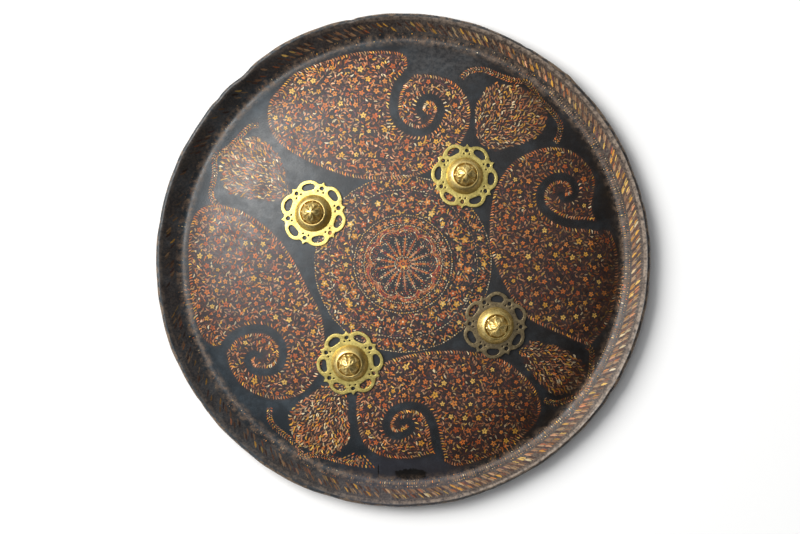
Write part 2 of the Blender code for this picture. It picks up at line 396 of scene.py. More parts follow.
# Outlines of the four curled paisleys, the clear spiral groove that curls into each, and the four drops.
PAISLEYS = {
    "top": (((-136, 159), (-124, 176), (-108, 191), (-72, 205), (-42, 212), (-9, 212), (4, 205), (6, 189),
             (24, 188), (50, 181), (65, 163), (68, 143), (60, 120), (34, 94), (7, 82), (-26, 80), (-58, 84),
             (-98, 100), (-124, 117), (-136, 136)),
            ((6, 189), (-4, 177), (-9, 161), (-8, 144), (1, 133), (15, 128), (28, 132), (36, 143), (38, 153),
             (33, 162), (24, 164), (18, 159), (16, 151), (21, 144))),
    "left": (((-217, 28), (-210, 48), (-193, 57), (-167, 52), (-144, 39), (-124, 21), (-108, -2), (-95, -28),
              (-83, -51), (-78, -77), (-81, -104), (-88, -120), (-104, -136), (-124, -141), (-144, -138),
              (-162, -128), (-175, -110), (-181, -88), (-193, -87), (-206, -74), (-214, -44), (-218, -5)),
             ((-181, -88), (-169, -75), (-150, -69), (-133, -72), (-122, -84), (-121, -99), (-128, -110),
              (-141, -113), (-153, -110), (-157, -100), (-151, -94), (-144, -96))),
    "bottom": (((-45, -130), (-26, -107), (1, -95), (40, -90), (73, -92), (99, -99), (119, -113),
                (134, -130), (140, -150), (134, -166), (119, -181), (99, -194), (76, -204), (55, -209),
                (38, -202), (30, -196), (7, -201), (-19, -199), (-39, -186), (-47, -159)),
               ((38, -202), (34, -186), (30, -166), (22, -151), (7, -146), (-8, -150), (-16, -161),
                (-16, -171), (-9, -177), (2, -175), (9, -169), (6, -162), (-1, -163))),
    "right": (((89, 61), (86, 28), (88, 8), (98, -18), (112, -44), (129, -61), (152, -72), (175, -82),
               (188, -86), (198, -77), (211, -58), (218, -25), (218, 5), (211, 28), (199, 34), (191, 54),
               (195, 80), (185, 100), (165, 113), (139, 113), (112, 100), (96, 80)),
              ((199, 34), (185, 36), (168, 37), (152, 43), (140, 54), (138, 67), (144, 78), (155, 84),
               (168, 82), (174, 72), (172, 64), (163, 61), (159, 66))),
}
DROPS = {
    "top": ((76, 120), (72, 140), (75, 159), (88, 176), (106, 179), (124, 174), (140, 159), (146, 143),
            (137, 126), (112, 115), (93, 110)),
    "left": ((-114, 69), (-119, 61), (-137, 59), (-160, 64), (-177, 70), (-184, 87), (-183, 108), (-168, 121),
             (-147, 124), (-131, 112), (-119, 90)),
    "bottom": ((-58, -125), (-55, -153), (-54, -179), (-65, -193), (-85, -196), (-104, -186), (-115, -166),
               (-111, -150), (-91, -133), (-72, -123)),
    "right": ((117, -92), (127, -82), (145, -84), (168, -93), (183, -107), (183, -120), (172, -132),
              (152, -135), (137, -123), (124, -107)),
}
GROOVE_WIDTH = 8.6
GROOVE_END_WIDTH = 6.0
FIELD_REACH = 222
LEAF_SPACING = 3.15
FLOWER_SPACING = 14.5
FLOWER_SIZE = 2.8
FLOWER_ROOM = 6.0
LEAF_ROOM = 4.2
LEAF_TO_FLOWER = 4.1
FRINGE_IN = 2.2
LEAF_SHARES = {"salmon": 3.6, "tan": 2.6, "gold": 1.3, "orange": 2.8, "cream": 0.7, "brown": 3.0, "plum": 2.4}
EDGE_SHARES = {"gold": 1.8, "cream": 0.4, "salmon": 3, "orange": 2.8, "tan": 1.6, "brown": 1.0}
DROP_SHARES = {"cream": 1.6, "salmon": 3, "tan": 2.6, "gold": 2.4, "orange": 1.8, "brown": 1.6}
BANK_SHARES = {"gold": 2.4, "cream": 0.6, "salmon": 2.4, "orange": 2.8, "tan": 1.2, "brown": 0.8}


def groove_half_width(share):
    """Half the width of the clear groove, which narrows evenly from its mouth to its inner end."""
    return (GROOVE_WIDTH + (GROOVE_END_WIDTH - GROOVE_WIDTH) * share) / 2


def groove_gap(x, y, groove):
    """Distance outside the clear spiral groove."""
    away, share = distance(x, y, groove)
    return away - groove_half_width(share)


def fringe(shares, x, y, tilt, keep, half_width, bend):
    """Short bent strokes side by side along a line, of which those named by keep are painted."""
    dabs_of(shares, x[keep], y[keep], tilt[keep], 1.9 + 0.5 * rng.random(keep.sum()), half_width, bend=bend,
            layer=2.0, shade=0.3)


def paint_paisley(loop, groove):
    """Scatters flowers over one field, then leaves that circle the near flowers and drift elsewhere, then
    fringes the outline and both banks of the groove."""
    def clear_inside(x, y):
        """Distance to the nearer of outline and groove for points inside the field, else below zero."""
        gap = np.minimum(distance(x, y, loop, closed=True)[0], groove_gap(x, y, groove))
        return np.where(inside(x, y, loop), gap, -1.0)

    keep = clear_inside(flower_x, flower_y) > FLOWER_ROOM
    fx, fy = flower_x[keep], flower_y[keep]
    flowers(fx, fy, FLOWER_SIZE, {"gold": 2.0, "orange": 3.8}, heart="plum")
    to_flower = np.hypot(leaf_x[:, None] - fx, leaf_y[:, None] - fy)
    keep = (clear_inside(leaf_x, leaf_y) > LEAF_ROOM) & (to_flower.min(1) > LEAF_TO_FLOWER)
    x, y, near, nearest = leaf_x[keep], leaf_y[keep], to_flower[keep].min(1), to_flower[keep].argmin(1)
    count = len(x)
    around = np.arctan2(y - fy[nearest], x - fx[nearest]) + np.where(rng.random(count) < 0.5, 0.9, -0.9)
    direction = np.where(near < 7.0, around, drift(x, y)) + 0.7 * rng.standard_normal(count)
    dabs_of(LEAF_SHARES, x, y, direction, 1.5 + 1.1 * rng.random(count), 0.62 + 0.34 * rng.random(count),
            bend=0.9 * rng.choice([-1, 1], count), shade=0.22)
    x, y, along = walk_along(loop, 2.8, closed=True)
    inward = along + np.where(inside(x - np.sin(along), y + np.cos(along), loop), 1, -1) * np.pi / 2
    tilt = inward + 0.45 + 0.25 * rng.standard_normal(len(x))
    x, y = x + FRINGE_IN * np.cos(inward), y + FRINGE_IN * np.sin(inward)
    fringe(EDGE_SHARES, x, y, tilt, groove_gap(x, y, groove) > 0.5, 0.66, 0.8)
    for side in (-1, 1):
        x, y, along = walk_along(groove, 2.9)
        reach = groove_half_width(np.linspace(0, 1, len(x))) + FRINGE_IN
        outward = along + side * np.pi / 2
        x, y = x + reach * np.cos(outward), y + reach * np.sin(outward)
        tilt = outward + 0.4 * side + 0.25 * rng.standard_normal(len(x))
        fringe(BANK_SHARES, x, y, tilt, inside(x, y, loop) & (groove_gap(x, y, groove) > 1.2), 0.68, 0.7)


def paint_drop(loop):
    """Fills one drop with leaves that fan out from its apex, sparser at its ragged edge."""
    keep = depth_inside(drop_x, drop_y, loop) > 1.6 * rng.random(len(drop_x)) - 0.9
    x, y = drop_x[keep], drop_y[keep]
    apex = loop[0]
    side = rng.choice([-1, 1], len(x))
    direction = np.arctan2(y - apex[1], x - apex[0]) + 0.45 * side + 0.22 * rng.standard_normal(len(x))
    size = 0.75 + 0.3 * np.hypot(x - apex[0], y - apex[1]) / 60 + 0.15 * rng.random(len(x))
    dabs_of(DROP_SHARES, x, y, direction, 2.1 * size, 0.72 * size, bend=-0.8 * side, shade=0.25)


leaf_x, leaf_y = lattice(LEAF_SPACING, FIELD_REACH, 0.75)
flower_x, flower_y = lattice(FLOWER_SPACING, FIELD_REACH, 0.32)
fills = [(smooth_curve(outline), smooth_curve(spiral, closed=False)) for outline, spiral in PAISLEYS.values()]
for loop, groove in fills:
    paint_paisley(loop, groove)
drop_x, drop_y = lattice(3.2, FIELD_REACH, 0.6)
for outline in DROPS.values():
    fills.append((smooth_curve(outline), None))
    paint_drop(fills[-1][0])

# The medallion: a sun of seventeen rays in nine red petals, then four rings of flowers between dotted lines.
MEDALLION = np.array([0.0, -3.8])
MEDALLION_EDGE = 88.2
RAYS = 17
RED_PETALS = 9
PETAL_FOOT = 31.0
PETAL_REACH = 6.0
# radius, number, turn in steps and size of the flowers in the broad ring and in the outer ring
BROAD_RING = ((57.0, 24, 0.0, 3.3), (66.2, 24, 0.5, 3.4))
OUTER_RING = ((81.0, 39, 0.0, 3.0),)


def ring_of(radius, count, offset=0.0):
    """Points round the medallion at one radius, and the angle of each."""
    angle = (np.arange(count) + offset) * 2 * np.pi / count
    return MEDALLION[0] + radius * np.cos(angle), MEDALLION[1] + radius * np.sin(angle), angle


def dotted_ring(radius, spacing, half_length, half_width, shares):
    """A ring of dabs laid end to end round the medallion."""
    x, y, angle = ring_of(radius, int(round(2 * np.pi * radius / spacing)))
    wobble = 0.25 * rng.standard_normal(len(x))
    dabs_of(shares, x + wobble * np.cos(angle), y + wobble * np.sin(angle), angle + np.pi / 2, half_length,
            half_width, layer=2.0)


def petal_edge(angle):
    """Radius of the red petals: the foot, plus the reach times the root of a cosine's size."""
    return PETAL_FOOT + PETAL_REACH * np.abs(np.cos(RED_PETALS / 2 * angle)) ** 0.5


def fill_of(keep, shares, half_length, half_width, layer):
    """Small bent leaves at the kept points round the sun, all at one slant to the middle."""
    dabs_of(shares, gap_x[keep] + MEDALLION[0], gap_y[keep] + MEDALLION[1], gap_angle[keep] + 0.8,
            half_length, half_width, bend=0.6, layer=layer)


x, y, angle = ring_of(3.6, 9)
dabs_of({"orange": 3, "gold": 1}, x, y, angle + 0.5, 2.4, 1.2, bend=0.8, layer=1.5)
lay(PAINTS["orange"][rng.integers(0, 3, 1)], *MEDALLION, 0.0, 1.6, 1.4, layer=0.8)
dotted_ring(6.4, 1.6, 0.7, 0.6, {"cream": 2, "orange": 2})
dotted_ring(8.0, 1.9, 0.8, 0.65, {"cream": 2, "salmon": 2})
for radius, half_length, half_width, shares in (
        (10.4, 2.0, 1.15, {"salmon": 2, "orange": 3}), (13.6, 2.0, 1.3, {"orange": 3, "salmon": 2}),
        (17.2, 2.2, 1.3, {"salmon": 2, "orange": 3}), (21.0, 2.2, 1.2, {"orange": 2, "salmon": 2, "red": 1}),
        (24.8, 1.9, 1.0, {"cream": 1, "orange": 2, "salmon": 1})):
    x, y, angle = ring_of(radius, RAYS)
    dabs_of(shares, x, y, angle, half_length, half_width, layer=1.5)
for side in (-1, 1):
    for radius, spread in ((12.0, 1.5), (14.6, 1.7), (17.2, 1.9), (19.8, 2.0), (22.4, 2.0), (25.0, 1.6),
                           (27.4, 0.0)):
        x, y, angle = ring_of(radius, RAYS)
        x, y = x - side * spread * np.sin(angle), y + side * spread * np.cos(angle)
        dabs_of({"cream": 3, "salmon": 2, "red": 1}, x, y, angle + side * 0.3, 0.7, 0.42, layer=1.2)
petal_turn = np.linspace(0, 2 * np.pi, 176, endpoint=False)
for inset, half_width, shares in ((-1.2, 0.8, {"orange": 2, "brown": 2, "salmon": 1}),
                                  (0.6, 1.1, {"red": 3, "salmon": 3, "orange": 1}),
                                  (2.7, 0.6, {"cream": 2, "orange": 2, "salmon": 2})):
    radius = petal_edge(petal_turn) - inset
    petal_line = MEDALLION + np.column_stack([radius * np.cos(petal_turn), radius * np.sin(petal_turn)])
    x, y, along = walk_along(petal_line, 2.2, closed=True)
    dabs_of(shares, x, y, along, 1.4, half_width, layer=2.0)
gap_x, gap_y = lattice(2.3, 42, 0.5)
gap_away, gap_angle = np.hypot(gap_x, gap_y), np.arctan2(gap_y, gap_x)
gap_petal = petal_edge(gap_angle)
fill_of((gap_away > gap_petal + 2.2) & (gap_away < 38.0), {"orange": 3, "salmon": 2, "brown": 2, "gold": 1},
        1.2, 0.6, 2.8)
fill_of((gap_away > 26.5) & (gap_away < gap_petal - 3.4), {"orange": 2, "cream": 1, "red": 1, "brown": 2},
        1.0, 0.5, 3.2)
dotted_ring(39.0, 2.0, 0.8, 0.55, {"cream": 3, "gold": 2})
x, y, angle = ring_of(43.6, 38)
flowers(x, y, 2.3, {"orange": 3, "gold": 1, "salmon": 1}, layer=1.2)
for radius, count, offset in ((41.2, 76, 0.5), (43.6, 38, 0.5), (46.2, 76, 0.5)):
    x, y, angle = ring_of(radius, count, offset)
    dabs_of({"cream": 1.2, "salmon": 3, "orange": 2, "tan": 2, "brown": 1}, x, y,
            angle + rng.choice([-0.9, 0.9], count), 1.3, 0.6, bend=0.8, layer=2.6)
dotted_ring(49.0, 2.3, 0.9, 0.6, {"cream": 2, "gold": 2, "tan": 1})
for radius, count, offset, size in BROAD_RING:
    x, y, angle = ring_of(radius, count, offset)
    jitter = 0.7 * rng.standard_normal((2, count))
    flowers(x + jitter[0], y + jitter[1], size, {"orange": 5, "gold": 1.0})
band_x, band_y = lattice(3.1, 92, 0.7)
away = np.hypot(band_x - MEDALLION[0], band_y - MEDALLION[1])
round_angle = np.arctan2(band_y - MEDALLION[1], band_x - MEDALLION[0])


def in_band(low, high, least, rings):
    """Plan points, distance and angle of the band's lattice between two radii, where no flower of the given
    rings is nearer than least."""
    keep = (away > low) & (away < high)
    for radius, count, offset, _ in rings:
        fx, fy, _ = ring_of(radius, count, offset)
        keep &= np.min(np.hypot(band_x[:, None] - fx, band_y[:, None] - fy), axis=1) > least
    return band_x[keep], band_y[keep], away[keep], round_angle[keep]


x, y, far, angle = in_band(51.2, 72.6, 3.9, BROAD_RING)
direction = angle + 1.57 + 1.1 * np.sin(24 * angle + far * 0.5) + 0.5 * rng.standard_normal(len(x))
dabs_of({"gold": 2.2, "cream": 1.3, "orange": 2.4, "plum": 1.8, "salmon": 2.2, "brown": 2.2, "red": 0.6},
        x, y, direction, 1.5 + 0.9 * rng.random(len(x)), 0.6 + 0.3 * rng.random(len(x)),
        bend=0.9 * rng.choice([-1, 1], len(x)))
dotted_ring(74.4, 3.0, 1.1, 0.55, {"tan": 2, "cream": 1, "salmon": 1})
for radius, count, offset, size in OUTER_RING:
    x, y, angle = ring_of(radius, count, offset)
    flowers(x, y, size, {"orange": 3, "gold": 1.6})
x, y, far, angle = in_band(75.8, 86.6, 3.7, OUTER_RING)
direction = angle + 1.57 + 0.9 * rng.choice([-1, 1], len(x))
dabs_of({"gold": 2, "cream": 1, "orange": 2.2, "plum": 1.6, "salmon": 2.4, "brown": 2.2}, x, y, direction,
        1.5 + 0.8 * rng.random(len(x)), 0.6 + 0.25 * rng.random(len(x)),
        bend=0.9 * rng.choice([-1, 1], len(x)))
dotted_ring(MEDALLION_EDGE, 2.6, 0.95, 0.6, {"tan": 2, "cream": 2, "gold": 1})

# Four pointed garlands between the paisleys, each round one drop, given by angle in degrees and radius.
GARLANDS = (
    ((38.6, 196), (39.4, 204), (41.7, 213), (46, 216), (50.5, 217), (55.4, 223), (59, 217), (63, 214),
     (67.3, 213), (71, 206), (72.7, 195.6)),
    ((136, 202), (138.5, 208), (146.5, 212), (150, 219.5), (154.6, 211), (160.4, 206), (162.7, 194.5)),
    ((227, 198), (230.8, 209.5), (240, 213), (242.3, 221), (245.8, 212), (256, 208), (258, 199.5)),
    ((316, 198), (318.5, 212), (326, 224.5), (334.6, 212), (336, 202)),
)
for pairs in GARLANDS:
    angle, radius = np.radians([a for a, _ in pairs]), np.array([r for _, r in pairs], float)
    knots = MEDALLION + np.column_stack([radius * np.cos(angle), radius * np.sin(angle)])
    line = smooth_curve(knots, closed=False)
    x, y, along = walk_along(line, 2.5)
    for off in (-2.0, 2.0):
        dabs_of({"gold": 1.6, "orange": 3, "salmon": 2, "tan": 3, "brown": 1.6}, x - off * np.sin(along),
                y + off * np.cos(along), along + 0.8 * np.sign(off), 1.6, 0.62, bend=0.6, layer=2.5,
                shade=0.3)
    x, y, along = walk_along(line, 2.9)
    dabs_of({"cream": 1, "gold": 2, "tan": 2}, x, y, along, 0.8, 0.55, layer=2.2, shade=0.3)

# Fan sprays that join the fields to the rim's border: (angle, radius, fan half width in degrees, reach).
SPRAYS = ((113, 214, 7.0, 14.0), (190, 219, 6.0, 12.0), (300, 214, 6.0, 12.0), (354, 221, 5.0, 9.0),
          (257, 205, 5.0, 12.0))
SPRAY_ROWS = 4
for at, radius, half_angle, reach in SPRAYS:
    for row in range(SPRAY_ROWS):
        lean = np.linspace(-1, 1, 4 + 2 * row)
        angle = math.radians(at) + lean * np.radians(half_angle) * (0.35 + 0.2 * row)
        r = radius - reach / 2 + reach * (row + 0.5) / SPRAY_ROWS - 2.0 * np.abs(lean)
        dabs_of({"gold": 1.5, "orange": 2, "salmon": 2, "tan": 2, "brown": 1.5},
                MEDALLION[0] + r * np.cos(angle), MEDALLION[1] + r * np.sin(angle), angle + 0.8 * lean, 1.9,
                0.65, layer=2.6, shade=0.3)

# The rim: a ladder of short dashes beside the trough, then a rope of slanting strokes up the wall. Both
# are rubbed away over much of the left, where a share of the strokes is gone.
LADDER_RADIUS = 226.6
LADDER_COUNT = 620
ROPE_RADIUS = 236.4
ROPE_COUNT = 178
ROPE_SLANT = 0.90


def left_on_rim(angle):
    """Which strokes of the rim are left at each angle: nearly all on the right, few on the upper left."""
    share = 0.62 + 0.43 * np.cos(angle + 0.2)
    return rng.random(len(angle)) < np.clip(share, 0.16, 0.97)


full_turn = np.arange(LADDER_COUNT) * 2 * np.pi / LADDER_COUNT
for radius, half_length in ((LADDER_RADIUS, 1.3), (LADDER_RADIUS + 3.2, 0.6), (LADDER_RADIUS - 2.9, 0.6)):
    angle = full_turn[left_on_rim(full_turn) & (rng.random(LADDER_COUNT) < 0.85)]
    dabs_of({"gold": 1, "tan": 4, "cream": 0.6, "orange": 0.6, "brown": 3}, radius * np.cos(angle),
            radius * np.sin(angle), angle, half_length, 0.5, layer=2.0, shade=0.3)
full_turn = np.arange(ROPE_COUNT) * 2 * np.pi / ROPE_COUNT
for shares, half_width, offset in (({"gold": 1.3, "tan": 4, "salmon": 0.5, "cream": 0.3}, 1.0, 0.0),
                                   ({"gold": 1.5, "tan": 3, "orange": 0.8}, 0.6, 0.30),
                                   ({"brown": 3, "plum": 0.6}, 1.0, 0.62)):
    for inset in (-2.3, 2.3):
        angle = full_turn + offset * 2 * np.pi / ROPE_COUNT
        angle = angle[left_on_rim(angle)]
        around = angle + inset * math.tan(ROPE_SLANT) / ROPE_RADIUS
        radius = ROPE_RADIUS + inset + 0.2 * rng.standard_normal(len(angle))
        dabs_of(shares, radius * np.cos(around), radius * np.sin(around), around + ROPE_SLANT, 4.0,
                half_width, layer=2.0 + offset, bend=0.35, shade=0.25)
        # painted shade: the rope's strokes are darker towards the left, where the rim wall faces away from
        # the window; the strokes set further along each twist are darker too
        lit = np.clip(0.68 + 0.24 * np.cos(angle - 0.3), 0.42, 0.92) * (1 - 0.6 * offset)
        strokes[-1][:, 6:9] *= lit[:, None]

strokes = np.concatenate(strokes)

# Old varnish has gone brown on the lower right, over the leaves most of all; the rim isn't varnished. The
# paint is dull on the far left and in the medallion, and darker where the right field nears the rim, a
# painted shade on the shoulder that falls away from the light.
RIM_START = 221
x, y, layer = strokes[:, 0], strokes[:, 1], strokes[:, 9]
from_middle = np.hypot(x, y)
browned = (from_middle < RIM_START) / (1 + np.exp(-(0.9 * x - 0.25 * y - 82) / 36))
browned = browned * np.where(inside(x, y, smooth_curve(DROPS["right"])), 0.6, 1.0)
browned = browned * np.where(layer >= 3.0, 0.70, 0.30)
dull = 0.93 * (1 - 0.36 / (1 + np.exp((x + 115) / 25)))
# painted shade: strokes where the right field nears the trough, on the shoulder facing away from the window
dull = dull * np.where((from_middle > 203) & (from_middle < RIM_START) & (x > 120), 0.6, 1.0)
dull = dull * np.where(np.hypot(x - MEDALLION[0], y - MEDALLION[1]) < MEDALLION_EDGE + 1.8, 0.88, 1.0)
strokes[:, 6:9] *= dull[:, None] * (1 - browned)[:, None] ** np.array([1.0, 1.12, 1.25])


def grid_place(x, y):
    """Grid coordinates of plan points: the ring number gives one, and the share of an eighth of a turn, the
    other, turned to the point's own quarter of the disc."""
    ring = np.interp(np.hypot(x, y) * MM, front_rings, np.arange(FACE_CELLS + 1))
    angle = np.arctan2(y, x)
    quarter = np.round(angle / (math.pi / 2))
    along = ring * (angle - quarter * math.pi / 2) * 4 / math.pi
    c, s = np.round(np.cos(quarter * math.pi / 2)), np.round(np.sin(quarter * math.pi / 2))
    return ring * c - along * s, ring * s + along * c


# Each cell of the face keeps the topmost few of the strokes that touch it, as attributes of its face: place
# (middle and bend), shape (direction over length, and length over width) and paint.
cells = 2 * FACE_CELLS
centres = front_points[face_quads].mean(1)[:, :2] / MM
WINDOW = 4
CELL_REACH = 1.25
u, v = grid_place(strokes[:, 0], strokes[:, 1])
steps = np.arange(-WINDOW, WINDOW + 1)
near_row = np.floor(u)[:, None, None].astype(int) + FACE_CELLS + steps[None, :, None]
near_column = np.floor(v)[:, None, None].astype(int) + FACE_CELLS + steps[None, None, :]
near_row, near_column = np.broadcast_arrays(near_row, near_column)
valid = (near_row >= 0) & (near_row < cells) & (near_column >= 0) & (near_column < cells)
which = np.broadcast_to(np.arange(len(strokes))[:, None, None], valid.shape)[valid]
cell = near_row[valid] * cells + near_column[valid]
dx, dy = centres[cell, 0] - strokes[which, 0], centres[cell, 1] - strokes[which, 1]
c, s = np.cos(strokes[which, 2]), np.sin(strokes[which, 2])
bent_width = strokes[which, 4] * (1 + 0.7 * np.abs(strokes[which, 5]))
touches = ((np.abs(dx * c + dy * s) < strokes[which, 3] + CELL_REACH)
           & (np.abs(dy * c - dx * s) < bent_width + CELL_REACH))
which, cell = which[touches], cell[touches]
order = np.lexsort((strokes[which, 9], cell))
which, cell = which[order], cell[order]
rank = np.arange(len(cell)) - np.searchsorted(cell, cell)
kept = rank < STROKE_LAYERS
which, cell, rank = which[kept], cell[kept], rank[kept]
face_total = len(quads) + len(joints)
place = np.full((STROKE_LAYERS, face_total, 3), (9e3, 9e3, 0.0))
shape = np.ones((STROKE_LAYERS, face_total, 3))
paint = np.zeros((STROKE_LAYERS, face_total, 3))
chosen = strokes[which]
place[rank, cell] = chosen[:, (0, 1, 5)]
shape[rank, cell] = np.column_stack([np.cos(chosen[:, 2]) / chosen[:, 3], np.sin(chosen[:, 2]) / chosen[:, 3],
                                     chosen[:, 3] / chosen[:, 4]])
paint[rank, cell] = chosen[:, 6:9]
for layer in range(STROKE_LAYERS):
    for name, table in (("place", place), ("shape", shape), ("paint", paint)):
        attribute = shell_mesh.attributes.new(f"{name}{layer}", "FLOAT_VECTOR", "FACE")
        attribute.data.foreach_set("vector", table[layer].astype(np.float32).ravel())

# The brown underpaint inside the painted fields, feathered over a millimetre or two. In the medallion it is
# weaker, most of all among the sun's rays and on the right; there its rise towards the left is painted light
# from the window side.
FIELD_MARGIN = 3
plan = front_points[:, :2] / MM
wash = np.zeros(len(points))
for loop, groove in fills:
    in_box = (plan > loop.min(0) - FIELD_MARGIN) & (plan < loop.max(0) + FIELD_MARGIN)
    numbers = np.flatnonzero(in_box.all(1))
    px, py = plan[numbers].T
    gap = depth_inside(px, py, loop)
    if groove is not None:
        gap = np.minimum(gap, groove_gap(px, py, groove))
    wash[numbers] = np.maximum(wash[numbers], np.clip(gap / 2.0 + 0.5, 0, 1))
middle = np.hypot(*(plan - MEDALLION).T)
in_medallion = np.clip((MEDALLION_EDGE + 0.8 - middle) / 2, 0, 1) * np.clip((middle - 36) / 4, 0.15, 1)
# the medallion's underpaint, stronger to the left as painted light on the window side
underpaint_and_painted_light = np.clip(0.62 - 0.006 * plan[:, 0], 0.15, 0.85)
wash[:len(plan)] = np.maximum(wash[:len(plan)], in_medallion * underpaint_and_painted_light)
attribute = shell_mesh.attributes.new("wash", "FLOAT", "POINT")
attribute.data.foreach_set("value", wash.astype(np.float32))


class Maker:
    """Adds nodes to a node tree and links them in one call."""

    def __init__(self, tree):
        self.tree = tree

    def node(self, kind, inputs=(), **settings):
        made = self.tree.nodes.new(kind)
        for key, value in settings.items():
            setattr(made, key, value)
        for key, value in dict(inputs).items():
            socket = made.inputs[key]
            if isinstance(value, bpy.types.NodeSocket):
                self.tree.links.new(value, socket)
            else:
                socket.default_value = value
        return made

    def math(self, operation, *values):
        return self.node("ShaderNodeMath", enumerate(values), operation=operation).outputs[0]

    def times(self, first, *others):
        """Product of the values."""
        for other in others:
            first = self.math("MULTIPLY", first, other)
        return first

    def line(self, value, slope, start):
        """Start plus slope times value."""
        return self.math("MULTIPLY_ADD", value, slope, start)

    def vector(self, operation, *values):
        made = self.node("ShaderNodeVectorMath", enumerate(values), operation=operation)
        return made.outputs["Value" if operation in ("DOT_PRODUCT", "LENGTH") else "Vector"]

    def parts(self, value):
        return self.node("ShaderNodeSeparateXYZ", {0: value}).outputs

    def ramp(self, value, low, high, to_low=0.0, to_high=1.0):
        """A smooth step of value from low to high."""
        return self.node("ShaderNodeMapRange", {0: value, 1: low, 2: high, 3: to_low, 4: to_high},
                         interpolation_type="SMOOTHSTEP").outputs[0]

    def band(self, value, start, full, fading, end):
        """0 outside start and end, 1 between full and fading, and a smooth step on either side."""
        return self.times(self.ramp(value, start, full), self.ramp(value, end, fading))

    def spot(self, point, middle, half_sizes):
        """Distance from an oval's middle, 1 at its edge."""
        sizes = (1 / half_sizes[0], 1 / half_sizes[1], 0.0)
        return self.vector("LENGTH", self.vector("MULTIPLY", self.vector("SUBTRACT", point, middle), sizes))

    def mix(self, share, first, second, blend="MIX"):
        made = self.node("ShaderNodeMix", {0: share, 6: first, 7: second}, data_type="RGBA", blend_type=blend)
        return made.outputs[2]

    def noise(self, where, scale, detail=2.0, roughness=0.5):
        return self.node("ShaderNodeTexNoise", {"Vector": where, "Scale": scale, "Detail": detail,
                                                "Roughness": roughness}).outputs[0]

    def attribute(self, name, output):
        return self.node("ShaderNodeAttribute", attribute_name=name).outputs[output]

    def surface(self, colour, roughness, height, strength, depth, **plain):
        """Ends a material: one shader with a bump of that strength and depth, and its plain values."""
        bump = self.node("ShaderNodeBump", {"Strength": strength, "Distance": depth, "Height": height})
        shader = self.node("ShaderNodeBsdfPrincipled", {"Base Color": colour, "Roughness": roughness,
                                                        "Normal": bump.outputs[0]})
        for socket, value in plain.items():
            shader.inputs[socket].default_value = value
        self.node("ShaderNodeOutputMaterial", {"Surface": shader.outputs[0]})


def new_look(name):
    """A material with an empty node tree, and the maker that fills it."""
    look = bpy.data.materials.new(name)
    look.use_nodes = True
    look.node_tree.nodes.clear()
    return look, Maker(look.node_tree)


def stroke_group():
    """A node group that lays one stroke over a colour. With U along the stroke and V across it, both 1 at
    its ends, the stroke is where 1 - U² - |V + bend (U² - 0.3)|^1.5 is above zero."""
    tree = bpy.data.node_groups.new("brush_stroke", "ShaderNodeTree")
    for name, kind in (("Colour", "Color"), ("Cover", "Float"), ("Point", "Vector"), ("Place", "Vector"),
                       ("Shape", "Vector"), ("Paint", "Color")):
        tree.interface.new_socket(name, in_out="INPUT", socket_type="NodeSocket" + kind)
    for name, kind in (("Colour", "Color"), ("Cover", "Float")):
        tree.interface.new_socket(name, in_out="OUTPUT", socket_type="NodeSocket" + kind)
    make = Maker(tree)
    given = make.node("NodeGroupInput").outputs
    offset = make.parts(make.vector("SUBTRACT", given["Point"], given["Place"]))
    form = make.parts(given["Shape"])
    along = make.line(form[1], offset[1], make.times(form[0], offset[0]))
    across = make.math("SUBTRACT", make.times(form[0], offset[1]), make.times(form[1], offset[0]))
    square = make.times(along, along)
    bent = make.line(make.math("SUBTRACT", 0.3, square), offset[2], make.times(across, form[2]))
    width = make.math("POWER", make.math("ABSOLUTE", bent), 1.5)
    cover = make.ramp(make.math("SUBTRACT", make.math("SUBTRACT", 1.0, square), width), 0.0, 0.35)
    colour = make.mix(cover, given["Colour"], given["Paint"])
    make.node("NodeGroupOutput", {"Colour": colour, "Cover": make.math("MAXIMUM", given["Cover"], cover)})
    return tree


# Radii in millimetres where dust starts, is full, fades and ends on the wall, in the trough and on the lip;
# on the wall and lip the bands also carry painted light on the right.
WALL_BAND = (229.0, 233.0, 245.5, 247.5)
TROUGH_BAND = (216.0, 223.0, 228.5, 232.0)
LIP_BAND = (242.6, 243.8, 246.0, 247.2)
# middle and half sizes of the dark smudge and of the crack at the bottom of the face
SMUDGE = ((8.0, -217.0, 0.0), (17.0, 6.0))
CRACK = ((-25.0, -213.0, 0.0), (0.6, 7.0))


